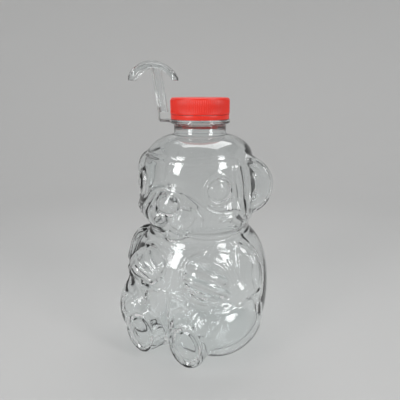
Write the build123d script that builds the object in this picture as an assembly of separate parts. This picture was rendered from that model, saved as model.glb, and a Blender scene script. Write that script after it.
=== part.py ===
# Honey bear bottle: clear blown bottle, screw cap with tamper band, and a carrying handle.
# Millimetres. The origin is the centre of the base under the neck. The bear looks towards -Y.
import os
from math import cos, hypot, pi, radians, sin, sqrt

from build123d import *

# wall and cuts
wall = 0.6
overrun = 1.0
running_gap = 0.05

# heights of the closure, from the table up
cap_top = 182.4
cap_plate = 1.4
liner_thick = 0.9
cap_height = 11.1
band_height = 3.0
band_gap = 0.3
collar_height = 1.7
support_height = 2.0

# radii of the closure
cap_radius = 20.75
cap_bore_radius = 18.95
cap_edge_round = 1.3
edge_step_share = 0.29
rib_depth = 0.22
rib_count = 96
rib_crest_share = 0.55
rib_low_inset = 1.0
liner_radius = 18.3
band_radius = 20.55
band_bore_radius = 19.3
band_lip_radius = 18.2
band_lip_height = 1.1
band_lip_slope = 0.8
bridge_count = 10
bridge_width = 1.1
neck_bore_radius = 16.0
finish_radius = 17.4
lip_round = 0.5
bead_radius = 18.9
bead_height = 1.0
bead_slope = 0.5
bead_above_seat = 2.6
band_seat_radius = 17.6
collar_seat_radius = 18.95
support_radius = 21.0
support_tip_height = 0.5
support_root_height = 1.2
throat_radius = 18.4
throat_taper = 1.8
throat_root_margin = 0.2
throat_root_wall = 1.7
throat_root_height = 1.4

# screw thread, three starts
thread_starts = 3
thread_lead = 9.0
thread_turn_share = 0.36
thread_radius = 18.6
thread_width = 1.3
thread_crest = 0.6
thread_root = 0.3
cap_thread_radius = 17.75
thread_below_lip = 5.6
thread_offset_share = 0.5

# the bear's trunk, turned about Z: (radius, height) from the base to the throat
trunk_points = [
    (33.0, 0.0), (38.8, 2.2), (43.4, 7.0), (47.8, 16.0), (51.4, 32.0), (51.8, 56.0), (49.4, 69.5),
    (44.4, 80.0), (38.6, 87.0), (36.4, 90.2), (37.0, 94.0), (39.6, 101.0), (41.0, 110.0),
    (41.2, 121.0), (40.2, 132.0), (38.8, 141.5), (35.9, 148.4), (31.0, 153.0), (24.8, 156.0),
    (20.4, 157.2),
]
skin_rows = 68
skin_columns = 112
blend_reach = 2.6
steepest_skin = 2.6
fit_tolerance = 0.05
waist_height = 90.2
head_shift_low = 88.0
head_shift_high = 150.0
head_shift = 2.5
seat_shift = 5.5
seat_shift_high = 48.0

# eggs on the trunk: middle, half sizes, the way the first half size points
muzzle = ((0.0, -25.0, 107.5), (21.0, 24.5, 18.0), (0.0, -1.0, 0.0))
jowls = ((0.0, -8.0, 107.5), (35.0, 43.8, 22.0), (0.0, -1.0, 0.0))
nose = ((0.0, -44.4, 116.2), (5.4, 8.8, 6.2), (0.0, -1.0, 0.0))
cheek = ((8.6, -38.6, 105.2), (9.2, 9.4, 8.6), (0.0, -1.0, 0.0))
chin = ((0.0, -36.0, 95.6), (8.4, 10.0, 6.4), (0.0, -1.0, 0.0))
arm = ((44.6, -13.0, 61.0), (25.4, 11.6, 11.2), (-0.12, 0.16, 0.98))
elbow = ((40.5, -22.5, 51.0), (10.0, 10.0, 13.0), (0.0, -1.0, 0.0))
hand = ((24.5, -37.0, 66.0), (16.5, 11.8, 11.8), (-0.8, -0.45, 0.4))
right_palm = ((-15.5, -40.5, 68.0), (10.5, 8.2, 9.0), (0.88, -0.25, -0.4))
leg = ((32.4, -23.5, 30.5), (33.0, 22.0, 24.0), (-0.34, -0.94, 0.03))
knee = ((12.0, -47.5, 38.5), (5.8, 5.8, 5.8), (0.0, -1.0, 0.0))
finger_sizes = (11.0, 2.8, 2.8)
finger_count = 4
right_finger_sizes = (8.0, 2.6, 2.6)
right_finger_count = 3
finger_step = 4.9
finger_sink = 0.9

# dished discs: front middle, turn, lean, half width, half height, thickness
ear = ((36.8, -6.0, 124.8), 13.0, 0.0, 19.8, 20.0, 11.0)
eye = ((30.9, -30.9, 125.6), 45.0, 0.0, 9.4, 9.4, 9.0)
foot = ((18.8, -54.8, 22.8), 5.0, 2.0, 14.0, 17.8, 18.0)
# how far a disc's front stands out, by the share of the way to its rim
flat_relief = [(0.0, 0.0), (1.0, 0.0)]
eye_relief = [(0.0, 2.2), (0.35, 1.7), (0.62, 0.2), (0.72, -0.6), (0.86, 0.2), (1.0, -0.5)]
foot_relief = [(0.0, 1.4), (0.4, 0.9), (0.62, -0.7), (0.74, -1.0), (0.86, 0.3), (1.0, -0.8)]

# carrying handle, drawn with its tab along -X and then turned about the neck
handle_turn = 28.3
collar_radius = 21.0
collar_bore_radius = collar_seat_radius + running_gap
strap_reach = 28.45
strap_thick = 0.9
strap_width = 10.0
strap_top = 176.5
tab_width = 10.6
tab_root_width = 27.0
tab_root_reach = 14.0
stem_width = 9.0
stem_depth = 6.6
stem_flange = 1.5
stem_web = 1.6
stem_lean = 8.5
stem_overhang = 0.58
stem_foot_drop = 3.9
grip_centre_offset = 3.45
grip_centre_rise = 10.8
grip_arc_radius = 18.8
grip_plate = 1.5
grip_lip_depth = 4.2
grip_lip_thick = 1.4
grip_width = 18.0
grip_corner_round = 5.0
grip_length = 33.8
grip_middle_offset = 3.25
grip_low_rise = 6.3

# heights that follow from those above
plate_under = cap_top - cap_plate
lip_height = plate_under - liner_thick
cap_low = cap_top - cap_height
band_top = cap_low - band_gap
band_low = band_top - band_height
collar_top = band_low - running_gap
support_top = collar_top - collar_height
support_low = support_top - support_height
bead_low = support_top + collar_height + bead_above_seat
thread_low = lip_height - thread_below_lip
root_radius, root_height = trunk_points[-1]
pivot_height = collar_top - strap_thick / 2
stem_outer_reach = strap_reach + strap_thick / 2 + stem_overhang
stem_inner_reach = stem_outer_reach - stem_depth
stem_foot_height = strap_top - stem_foot_drop
grip_centre_reach = strap_reach + grip_centre_offset
grip_centre_height = strap_top + grip_centre_rise
grip_middle_reach = strap_reach + grip_middle_offset
grip_low = grip_centre_height + grip_low_rise
stem_head_height = grip_centre_height + grip_arc_radius - grip_plate


def turned(points):
    """A solid turned about Z from the corners of its half section."""
    return revolve(make_face(Plane.XZ * Polyline(*points, close=True)), Axis.Z)


def part_way(points, share):
    """The height of a broken line of (place, height) points at one place."""
    for (x0, y0), (x1, y1) in zip(points, points[1:]):
        if share <= x1:
            return y0 + (y1 - y0) * (share - x0) / (x1 - x0)
    return points[-1][1]


def own_axes(toward):
    """Three square axes as tuples, the first one along toward."""
    first = Vector(*toward).normalized()
    across = Vector(0, 0, 1) if abs(first.Z) < sqrt(1 / 2) else Vector(0, -1, 0)
    second = across.cross(first).normalized()
    third = first.cross(second)
    return [(axis.X, axis.Y, axis.Z) for axis in (first, second, third)]


def egg_reach(form, way, height):
    """How far from the Z axis a level ray along way leaves an egg, or 0 where it misses."""
    (x, y, z), sizes, axes = form
    square = cross = rest = 0
    for (ax, ay, az), size in zip(axes, sizes):
        along = (way[0] * ax + way[1] * ay) / size
        start = ((height - z) * az - x * ax - y * ay) / size
        square += along * along
        cross += along * start
        rest += start * start
    inside = cross * cross - square * (rest - 1)
    return (sqrt(inside) - cross) / square if inside > 0 else 0


def disc_reach(form, way, height):
    """The same for a disc, by its relieved front or by its side."""
    (x, y, z), axes, half_width, half_height, thick, relief = form
    out, aside, upward = axes

    def local(reach):
        point = (way[0] * reach - x, way[1] * reach - y, height - z)
        return [sum(p * q for p, q in zip(point, axis)) for axis in (out, aside, upward)]

    facing_share = out[0] * way[0] + out[1] * way[1]
    start, aside_start, upward_start = local(0)
    best = 0
    if facing_share > 0:
        reach = -start / facing_share
        _, wide, tall = local(reach)
        share = hypot(wide / half_width, tall / half_height)
        if share < 1:
            best = reach + part_way(relief, share)
    along_wide = (aside[0] * way[0] + aside[1] * way[1]) / half_width
    along_tall = (upward[0] * way[0] + upward[1] * way[1]) / half_height
    square = along_wide**2 + along_tall**2
    if square > 0:
        start_wide, start_tall = aside_start / half_width, upward_start / half_height
        cross = along_wide * start_wide + along_tall * start_tall
        inside = cross**2 - square * (start_wide**2 + start_tall**2 - 1)
        if inside > 0:
            reach = (sqrt(inside) - cross) / square
            if -thick < local(reach)[0] < 0:
                best = max(best, reach)
    return best


def mirrored(place):
    return (-place[0], *place[1:])


def egg_form(shape):
    """An egg with its own axes."""
    middle, sizes, toward = shape
    return middle, sizes, own_axes(toward)


def far_egg_form(shape):
    """The same egg on the bear's other side."""
    middle, sizes, toward = shape
    return egg_form((mirrored(middle), sizes, mirrored(toward)))


def disc_form(disc, relief, side):
    """A disc on one side, 1 or -1, with its own axes: out of its front, aside and up."""
    front, turn, lean, half_width, half_height, thick = disc
    if side < 0:
        front = mirrored(front)
    turn, lean = radians(turn * side), radians(lean)
    out = (sin(turn) * cos(lean), -cos(turn) * cos(lean), -sin(lean))
    aside = (cos(turn), sin(turn), 0)
    upward = tuple(Vector(*out).cross(Vector(*aside)))
    return front, (out, aside, upward), half_width, half_height, thick, relief


def finger_forms(palm, lengths, count):
    """Fingers laid side by side on the outside of a hand."""
    middle, sizes, toward = palm
    along = Vector(*toward).normalized()
    outward = Vector(middle[0], middle[1], 0).normalized()
    across = along.cross(outward).normalized()
    outward = across.cross(along).normalized()
    forms = []
    for index in range(count):
        offset = (index - (count - 1) / 2) * finger_step
        lift = sqrt(sizes[1] ** 2 - offset**2) - finger_sink
        place = Vector(*middle) + across * offset + outward * lift
        forms.append((tuple(place), lengths, own_axes(toward)))
    return forms


def trunk_rows():
    """(radius, height) of each level row of the skin, evenly along the trunk's curve."""
    curve = Spline(*trunk_points)
    places = [curve @ (row / (skin_rows - 1)) for row in range(skin_rows)]
    return [(place.X, place.Y) for place in places]


def blended(one, other):
    """The larger of two reaches, rounded where they cross."""
    near = max(blend_reach - abs(one - other), 0)
    return max(one, other) + near * near / (4 * blend_reach)


def skin_forms():
    """Every egg and every disc that swells the bear's trunk."""
    eggs = [egg_form(shape) for shape in (muzzle, jowls, nose, chin, right_palm)]
    for shape in (cheek, arm, elbow, hand, leg, knee):
        eggs += [egg_form(shape), far_egg_form(shape)]
    eggs += finger_forms(hand, finger_sizes, finger_count)
    eggs += finger_forms(right_palm, right_finger_sizes, right_finger_count)
    pairs = ((ear, flat_relief), (eye, eye_relief), (foot, foot_relief))
    discs = [disc_form(disc, relief, side) for disc, relief in pairs for side in (1, -1)]
    return eggs, discs


def skin_reaches():
    """The bear's skin as reaches from the Z axis, by row and by column from the back."""
    eggs, discs = skin_forms()
    table = []
    for radius, height in trunk_rows():
        share = (height - head_shift_low) / (head_shift_high - head_shift_low)
        forward = head_shift * sin(pi * share) if 0 < share < 1 else 0
        sit = seat_shift * max(1 - height / seat_shift_high, 0)
        row = []
        for column in range(skin_columns):
            way = way_out(column)
            reach = radius - (forward - sit) * way[1]
            for form in eggs:
                reach = blended(reach, egg_reach(form, way, height))
            for form in discs:
                reach = blended(reach, disc_reach(form, way, height))
            row.append(reach)
        table.append(row)
    return softened(table)


def way_out(column):
    """The level way out from the Z axis through a column of the skin, the first one at the back."""
    turn = 2 * pi * column / skin_columns
    return (-sin(turn), cos(turn))


def next_column(column):
    return (column + 1) % skin_columns


def softened(table):
    """The table with each reach eased by its neighbours, the end rows left alone."""
    across = [[(row[i - 1] + 2 * row[i] + row[next_column(i)]) / 4 for i in range(skin_columns)]
              for row in table]
    eased = [table[0]]
    for below, row, above in zip(across, across[1:], across[2:]):
        eased.append([(low + 2 * here + high) / 4 for low, here, high in zip(below, row, above)])
    eased.append(table[-1])
    return eased


def inner_reaches(table, heights):
    """The reaches one wall inside the skin, measured square to it."""
    placed = []
    for index, row in enumerate(table):
        low, high = max(index - 1, 0), min(index + 1, len(table) - 1)
        inner = []
        for column, reach in enumerate(row):
            slope = (table[high][column] - table[low][column]) / (heights[high] - heights[low])
            swerve = (row[next_column(column)] - row[column - 1]) / (4 * pi / skin_columns * reach)
            inner.append(reach - wall * min(hypot(1, slope, swerve), steepest_skin))
        placed.append(inner)
    return placed


def skin_face(table, heights):
    """One smooth closed face through the skin's points."""
    columns = []
    for column in [*range(skin_columns), 0]:
        x, y = way_out(column)
        columns.append([Vector(row[column] * x, row[column] * y, height)
                        for row, height in zip(table, heights)])
    return Face.make_surface_from_array_of_points(columns, tol=fit_tolerance)


def skin_tables():
    """The outer and the inner reaches with their rows' heights, and the row at the bear's waist."""
    heights = [height for _, height in trunk_rows()]
    outer = skin_reaches()
    waist = min(range(skin_rows), key=lambda row: abs(heights[row] - waist_height))
    return outer, inner_reaches(outer, heights), heights, waist


def shell_solid(outer, inner, ends):
    """A closed wall between two skin faces; the ends are its lowest and its highest faces."""
    return Solid(Shell([outer, inner, *ends]))


def end_loops(face):
    """The lowest and the highest closed edge of a skin face, as wires."""
    loops = [edge for edge in face.edges() if edge.is_closed]
    loops.sort(key=lambda edge: edge.center().Z)
    return Wire([loops[0]]), Wire([loops[-1]])


def floored(table, heights):
    """The table and its heights, cut off level at the inside of the floor."""
    first = next(index for index, height in enumerate(heights) if height > wall)
    share = (wall - heights[first - 1]) / (heights[first] - heights[first - 1])
    floor = [low + (high - low) * share for low, high in zip(table[first - 1], table[first])]
    return [floor] + table[first:], [wall] + heights[first:]


def bear_body():
    """The blown shell from the flat base to the waist under the head."""
    outer_table, inner_table, heights, waist = skin_tables()
    heights = heights[:waist + 1]
    outer = skin_face(outer_table[:waist + 1], heights)
    inner = skin_face(*floored(inner_table[:waist + 1], heights))
    base, outer_rim = end_loops(outer)
    floor, inner_rim = end_loops(inner)
    return shell_solid(outer, inner, [Face(base), Face(floor), Face(outer_rim, [inner_rim])])


def bear_head():
    """The blown shell of the head, open at the waist and at the throat."""
    outer_table, inner_table, heights, waist = skin_tables()
    outer = skin_face(outer_table[waist:], heights[waist:])
    inner = skin_face(inner_table[waist:], heights[waist:])
    ends = [Face(outside, [inside]) for outside, inside in zip(end_loops(outer), end_loops(inner))]
    return shell_solid(outer, inner, ends)


def thread_ridge(radius, crest_radius, root_radius, start_height, turned_by):
    """One start of a screw thread, from its root inside the wall to its crest."""
    rise = thread_lead * thread_turn_share
    path = Pos(0, 0, start_height) * Helix(thread_lead, rise, radius)
    root, crest = thread_width / 2, thread_crest / 2
    section = make_face(Plane.XZ * Polyline(
        (root_radius, start_height - root), (crest_radius, start_height - crest),
        (crest_radius, start_height + crest), (root_radius, start_height + root), close=True))
    ridge = sweep(section, path=path, is_frenet=True)
    return Rot(0, 0, turned_by) * ridge


def neck_finish():
    """The screw neck: throat, support ring, collar seat, tamper bead, threads and lip."""
    slope = support_radius - throat_radius
    outline = [
        (root_radius + throat_root_margin, root_height),
        (throat_radius, root_height + throat_root_height), (throat_radius, support_low),
        (support_radius, support_low + support_root_height - support_tip_height / 2),
        (support_radius, support_low + support_root_height + support_tip_height / 2),
        (support_radius - support_tip_height, support_top), (collar_seat_radius, support_top),
        (collar_seat_radius, collar_top), (band_seat_radius, collar_top),
        (band_seat_radius, bead_low), (bead_radius, bead_low + bead_slope),
        (bead_radius, bead_low + bead_height), (finish_radius, bead_low + bead_height + bead_slope * 2),
        (finish_radius, lip_height - lip_round), (finish_radius - lip_round, lip_height),
        (neck_bore_radius, lip_height), (neck_bore_radius, support_low),
        (throat_radius - wall, support_low - throat_taper),
        (throat_radius - wall, root_height + throat_root_height),
        (root_radius - throat_root_wall, root_height),
    ]
    neck = turned(outline)
    for start in range(thread_starts):
        turn = 360 * start / thread_starts
        neck += thread_ridge(finish_radius, thread_radius, finish_radius - thread_root, thread_low, turn)
    return neck


def ribbed_outline(radius):
    """A circle with fine ribs, as the edge of the cap's skirt."""
    points = []
    for rib in range(rib_count):
        for place, depth in ((0, 0), (rib_crest_share, 0), (rib_crest_share, rib_depth), (1, rib_depth)):
            turn = 2 * pi * (rib + place) / rib_count
            points.append(((radius - depth) * cos(turn), (radius - depth) * sin(turn)))
    return make_face(Polyline(*points, close=True))


def screw_cap():
    """The red cap: rounded top, ribbed skirt, bore and inside thread."""
    skirt_radius = cap_radius - rib_depth
    rib_low, rib_high = cap_low + rib_low_inset, cap_top - cap_edge_round
    step = cap_edge_round * edge_step_share
    cap = turned([
        (cap_bore_radius, cap_low), (cap_radius, cap_low), (cap_radius, rib_low), (skirt_radius, rib_low),
        (skirt_radius, rib_high), (skirt_radius - step, cap_top - step),
        (skirt_radius - cap_edge_round, cap_top), (0, cap_top), (0, plate_under),
        (cap_bore_radius, plate_under),
    ])
    ribs = extrude(Plane.XY.offset(rib_low) * ribbed_outline(cap_radius), amount=rib_high - rib_low)
    core = Pos(0, 0, rib_low) * Cylinder(
        (cap_bore_radius + cap_radius) / 2, cap_height, align=(Align.CENTER, Align.CENTER, Align.MIN))
    cap += ribs - core
    for start in range(thread_starts):
        turn = 360 * (start + thread_offset_share) / thread_starts
        root = cap_bore_radius + thread_root
        cap += thread_ridge(cap_bore_radius, cap_thread_radius, root, thread_low, turn)
    return cap


def cap_liner():
    return Pos(0, 0, lip_height + liner_thick / 2) * Cylinder(liner_radius, liner_thick)


def tamper_band():
    """The ring under the cap, with its inside lip under the bead and its bridges on top."""
    band = turned([
        (band_lip_radius, band_low), (band_radius, band_low), (band_radius, band_top),
        (band_bore_radius, band_top), (band_bore_radius, band_low + band_lip_height + band_lip_slope),
        (band_lip_radius, band_low + band_lip_height),
    ])
    middle = (band_bore_radius + band_radius) / 2
    for index in range(bridge_count):
        bridge = Box(band_radius - band_bore_radius, bridge_width, band_gap * 2)
        band += Rot(0, 0, 360 * index / bridge_count) * Pos(middle, 0, band_top) * bridge
    return band


def turned_to_photo(shape):
    return Rot(0, 0, handle_turn) * shape


def handle_collar():
    """The flat ring round the neck and the tab that carries the hinge."""
    ring = Cylinder(collar_radius, collar_height)
    tab_reach = strap_reach - strap_thick / 2 - running_gap
    tab = make_face(Polyline(
        (-tab_reach, -tab_width / 2), (-tab_reach, tab_width / 2),
        (-tab_root_reach, tab_root_width / 2), (-tab_root_reach, -tab_root_width / 2), close=True))
    plate = Pos(0, 0, -collar_height / 2) * extrude(tab, amount=collar_height)
    bore = Cylinder(collar_bore_radius, collar_height + 2 * overrun)
    collar = Pos(0, 0, support_top + collar_height / 2) * (ring + plate - bore)
    return turned_to_photo(collar)


def hinge_strap():
    """The thin strap that stands on the tab's edge."""
    height = strap_top - pivot_height
    slab = Pos(-strap_reach, 0, pivot_height + height / 2) * Box(strap_thick, strap_width, height)
    knuckle = Pos(-strap_reach, 0, pivot_height) * Rot(90, 0, 0) * Cylinder(strap_thick / 2, strap_width)
    return turned_to_photo(slab + knuckle)


def leaning(reach, height):
    """A point of the stem's side view, leaned outward from its seat on the strap."""
    lean = (height - strap_top) * sin(radians(stem_lean))
    return (-reach - lean, height)


def stem_slab(inner_reach, outer_reach, low, width):
    """A slab of the stem between two reaches, from low up to the grip."""
    corners = [
        leaning(inner_reach, low), leaning(outer_reach, low),
        leaning(outer_reach, stem_head_height), leaning(inner_reach, stem_head_height),
    ]
    face = make_face(Plane.XZ * Polyline(*corners, close=True))
    return extrude(face, amount=width / 2, both=True)


def grip_arch(outer_radius, inner_radius, width, round_by, trim):
    """An arch across the stem's head with rounded corners in plan."""
    ring = Cylinder(outer_radius, width) - Cylinder(inner_radius, width + 2 * overrun)
    ring = Pos(-grip_centre_reach, 0, grip_centre_height) * Rot(90, 0, 0) * ring
    plan = RectangleRounded(grip_length - 2 * trim, width, round_by)
    column = Pos(-grip_middle_reach, 0, grip_low) * extrude(plan, amount=grip_arc_radius * 2)
    return ring & column


def handle_stem():
    """The ribbed stem and its curved T grip, hollow underneath."""
    web_inner = stem_inner_reach + stem_flange
    web_outer = stem_outer_reach - stem_flange
    slabs = [
        stem_slab(stem_inner_reach, web_inner, stem_foot_height, stem_width),
        stem_slab(web_outer, stem_outer_reach, strap_top, stem_width),
        stem_slab(web_inner, web_outer, stem_foot_height, stem_web),
    ]
    grip = grip_arch(grip_arc_radius, grip_arc_radius - grip_lip_depth, grip_width, grip_corner_round, 0)
    hollow = grip_arch(
        grip_arc_radius - grip_plate, grip_arc_radius - grip_lip_depth - overrun,
        grip_width - 2 * grip_lip_thick, grip_corner_round - grip_lip_thick, grip_lip_thick)
    stem = grip - hollow
    for slab in slabs:
        stem += slab
    return turned_to_photo(stem)


nodes = {
    "bear_body": bear_body,
    "bear_head": bear_head,
    "neck_finish": neck_finish,
    "screw_cap": screw_cap,
    "cap_liner": cap_liner,
    "tamper_band": tamper_band,
    "handle_collar": handle_collar,
    "handle_hinge_strap": hinge_strap,
    "handle_stem_and_grip": handle_stem,
}

if __name__ == "__main__":
    os.makedirs("parts", exist_ok=True)
    for name, make in nodes.items():
        export_step(make(), f"parts/{name}.step")
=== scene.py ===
# Honey bear bottle: a clear sitting bear, a red screw cap and a clear carrying handle.
from math import atan2, cos, hypot, pi, radians, sin, sqrt, tau

import bmesh
import bpy
import numpy as np
from mathutils import Matrix, Vector


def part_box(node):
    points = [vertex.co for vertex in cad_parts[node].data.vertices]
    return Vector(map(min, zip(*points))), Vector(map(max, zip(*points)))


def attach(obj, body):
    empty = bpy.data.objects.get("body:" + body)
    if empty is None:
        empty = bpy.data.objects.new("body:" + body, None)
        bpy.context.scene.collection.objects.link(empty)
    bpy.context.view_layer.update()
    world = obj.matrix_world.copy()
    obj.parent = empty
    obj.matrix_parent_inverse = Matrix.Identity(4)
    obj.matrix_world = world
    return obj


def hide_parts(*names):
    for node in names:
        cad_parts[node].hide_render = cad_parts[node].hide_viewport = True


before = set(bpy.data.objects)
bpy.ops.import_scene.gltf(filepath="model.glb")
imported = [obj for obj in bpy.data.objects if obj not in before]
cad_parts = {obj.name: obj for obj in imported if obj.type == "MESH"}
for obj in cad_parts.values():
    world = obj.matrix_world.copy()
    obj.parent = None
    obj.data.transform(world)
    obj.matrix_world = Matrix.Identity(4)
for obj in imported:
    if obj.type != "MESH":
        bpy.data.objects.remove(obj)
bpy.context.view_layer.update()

mm = 0.001  # every size below is in millimetres
bottleNodes = ("bear_body", "bear_head", "neck_finish")

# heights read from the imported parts
capLow, capTop = (corner.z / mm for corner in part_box("screw_cap"))
bandLow, bandTop = (corner.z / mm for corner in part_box("tamper_band"))
collarLow, collarTop = (corner.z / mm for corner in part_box("handle_collar"))
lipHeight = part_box("neck_finish")[1].z / mm


# camera and studio

view = {
    "turn": 28.3,  # degrees round from the bear's front, towards its left
    "tilt": 15.5,  # degrees down
    "distance": 287.0,
    "height": 188.0,
    "lens": 36.0,
    "sensor": 36.0,
}


def placeCamera():
    data = bpy.data.cameras.new("camera")
    data.lens = view["lens"]
    data.sensor_width = view["sensor"]
    data.clip_start = 0.01
    camera = bpy.data.objects.new("camera", data)
    turn = radians(view["turn"])
    reach = view["distance"] * mm
    camera.location = (sin(turn) * reach, -cos(turn) * reach, view["height"] * mm)
    camera.rotation_euler = (radians(90 - view["tilt"]), 0, turn)
    bpy.context.scene.collection.objects.link(camera)
    bpy.context.scene.camera = camera


studio = {
    "floorColour": (0.56, 0.56, 0.555),
    "worldColour": (0.1, 0.103, 0.107),
    # the backdrop, in millimetres
    "floorGap": 0.2,
    "wallReach": 950,
    "bend": 500,
    "wallTop": 820,
    "columns": 120,
    # lamps: degrees round from the camera, elevation, distance, width, height, watts
    "lamps": {
        "softboxLeft": (-46, 30, 0.80, 0.20, 0.44, 2.9),
        "softboxRight": (52, 32, 0.80, 0.18, 0.40, 2.4),
        "softboxTop": (170, 66, 1.00, 0.80, 0.70, 4.8),
    },
}


def makeBackdrop():
    # A round floor that curves up into a low wall, so that it looks the same from every side.
    reach, bend, steps = studio["wallReach"], studio["bend"], 20
    profile = [(reach - bend, 0)]
    for step in range(1, steps + 1):
        angle = pi / 2 * step / steps
        profile.append((reach - bend * (1 - sin(angle)), bend * (1 - cos(angle))))
    profile.append((reach, studio["wallTop"]))
    rings = [[(0, 0, -studio["floorGap"])]]
    rings += [circle(out, up - studio["floorGap"], studio["columns"]) for out, up in profile]
    backdrop = ringMesh("backdrop", rings)
    smoothShade(backdrop)
    backdrop.data.materials.append(floorMaterial())


def lightStudio():
    for name, (turn, lift, reach, width, height, power) in studio["lamps"].items():
        data = bpy.data.lights.new(name, "AREA")
        data.shape = "RECTANGLE"
        data.size, data.size_y, data.energy = width, height, power
        lamp = bpy.data.objects.new(name, data)
        angle, lift = radians(view["turn"] + turn), radians(lift)
        aim = Vector((0, 0, 0.09))
        way = Vector((sin(angle) * cos(lift), -cos(angle) * cos(lift), sin(lift)))
        lamp.location = aim + way * reach
        lamp.rotation_euler = way.to_track_quat("Z", "Y").to_euler()
        lamp.visible_camera = False
        bpy.context.scene.collection.objects.link(lamp)
    world = bpy.data.worlds.new("studioAir")
    world.use_nodes = True
    world.node_tree.nodes["Background"].inputs["Color"].default_value = (*studio["worldColour"], 1)
    bpy.context.scene.world = world


# small helpers for meshes and materials

def meshObject(name, work):
    mesh = bpy.data.meshes.new(name)
    work.to_mesh(mesh)
    work.free()
    made = bpy.data.objects.new(name, mesh)
    bpy.context.scene.collection.objects.link(made)
    return made


def circle(radius, height, columns):
    turns = [tau * i / columns for i in range(columns)]
    return [(radius * cos(turn), radius * sin(turn), height) for turn in turns]


def ringMesh(name, rings, closed=False):
    # Rings of points in millimetres, bridged in turn; a ring may have half the points of the one before.
    work = bmesh.new()
    rows = [[work.verts.new(Vector(point) * mm) for point in ring] for ring in rings]
    pairs = list(zip(rows, rows[1:])) + ([(rows[-1], rows[0])] if closed else [])
    for low, high in pairs:
        count, other = len(low), len(high)
        if other == 1:
            for i in range(count):
                work.faces.new((low[i], low[(i + 1) % count], high[0]))
        elif count == 1:
            for i in range(other):
                work.faces.new((low[0], high[(i + 1) % other], high[i]))
        elif count == other:
            for i in range(count):
                j = (i + 1) % count
                work.faces.new((low[i], low[j], high[j], high[i]))
        else:
            for i in range(other):
                j = (i + 1) % other
                work.faces.new((low[2 * i], low[2 * i + 1], low[(2 * i + 2) % count], high[j], high[i]))
    bmesh.ops.recalc_face_normals(work, faces=work.faces)
    return meshObject(name, work)


def smoothShade(piece, angle=None):
    for polygon in piece.data.polygons:
        polygon.use_smooth = True
    if angle is not None:
        piece.data.set_sharp_from_angle(angle=radians(angle))


def finishPiece(piece, body, slot, material, *nodes):
    piece.data.materials.clear()
    piece.data.materials.append(material)
    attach(piece, body)
    if nodes:
        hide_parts(*nodes)


def newTree(name):
    material = bpy.data.materials.new(name)
    material.use_nodes = True
    tree = material.node_tree
    return material, tree, tree.nodes["Principled BSDF"], tree.nodes["Material Output"]


def noiseOf(tree, scale, detail):
    place = tree.nodes.new("ShaderNodeTexCoord")
    noise = tree.nodes.new("ShaderNodeTexNoise")
    noise.inputs["Scale"].default_value = scale
    noise.inputs["Detail"].default_value = detail
    tree.links.new(place.outputs["Object"], noise.inputs["Vector"])
    return noise.outputs["Fac"]


def ranged(tree, value, low, high):
    node = tree.nodes.new("ShaderNodeMapRange")
    node.inputs["From Min"].default_value = 0.3
    node.inputs["From Max"].default_value = 0.7
    node.inputs["To Min"].default_value = low
    node.inputs["To Max"].default_value = high
    tree.links.new(value, node.inputs["Value"])
    return node.outputs["Result"]


def bumped(tree, value, strength, distance):
    node = tree.nodes.new("ShaderNodeBump")
    node.inputs["Strength"].default_value = strength
    node.inputs["Distance"].default_value = distance
    tree.links.new(value, node.inputs["Height"])
    return node.outputs["Normal"]


def twoTone(tree, value, dark, light):
    node = tree.nodes.new("ShaderNodeValToRGB")
    node.color_ramp.elements[0].position = 0.35
    node.color_ramp.elements[1].position = 0.65
    node.color_ramp.elements[0].color = (*dark, 1)
    node.color_ramp.elements[1].color = (*light, 1)
    tree.links.new(value, node.inputs["Fac"])
    return node.outputs["Color"]


def floorMaterial():
    material, _, shader, _ = newTree("paleFloor")
    shader.inputs["Base Color"].default_value = (*studio["floorColour"], 1)
    shader.inputs["Roughness"].default_value = 0.55
    shader.inputs["Specular IOR Level"].default_value = 0.25
    return material


# clear plastic

clearPlastic = {
    "tint": (0.95, 0.965, 0.965),
    "ior": 1.57,
    "smoothest": 0.008,
    "roughest": 0.03,
    "waveScale": 55.0,  # slow waves of a blown wall
    "waveHeight": 0.00025,
    "waveStrength": 0.35,
    "lampShare": 0.94,  # how much of a lamp's light goes straight through each face
    "lampTint": (0.96, 0.97, 0.97),
}


def clearMaterial(name, settings):
    material, tree, shader, output = newTree(name)
    shader.inputs["Base Color"].default_value = (*settings["tint"], 1)
    shader.inputs["IOR"].default_value = settings["ior"]
    shader.inputs["Transmission Weight"].default_value = 1.0
    wave = noiseOf(tree, settings["waveScale"], 2.0)
    gloss = ranged(tree, wave, settings["smoothest"], settings["roughest"])
    waves = bumped(tree, wave, settings["waveStrength"], settings["waveHeight"])
    tree.links.new(gloss, shader.inputs["Roughness"])
    tree.links.new(waves, shader.inputs["Normal"])
    # lamp light and light from pale surfaces go straight through, so the floor by the bottle stays even
    through = tree.nodes.new("ShaderNodeBsdfTransparent")
    through.inputs["Color"].default_value = (*settings["lampTint"], 1)
    light = tree.nodes.new("ShaderNodeLightPath")
    either = tree.nodes.new("ShaderNodeMath")
    either.operation = "MAXIMUM"
    tree.links.new(light.outputs["Is Shadow Ray"], either.inputs[0])
    tree.links.new(light.outputs["Is Diffuse Ray"], either.inputs[1])
    share = tree.nodes.new("ShaderNodeMath")
    share.operation = "MULTIPLY"
    share.inputs[1].default_value = settings["lampShare"]
    tree.links.new(either.outputs[0], share.inputs[0])
    mix = tree.nodes.new("ShaderNodeMixShader")
    tree.links.new(share.outputs[0], mix.inputs["Fac"])
    tree.links.new(shader.outputs["BSDF"], mix.inputs[1])
    tree.links.new(through.outputs["BSDF"], mix.inputs[2])
    tree.links.new(mix.outputs["Shader"], output.inputs["Surface"])
    return material


# the bear

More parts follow.
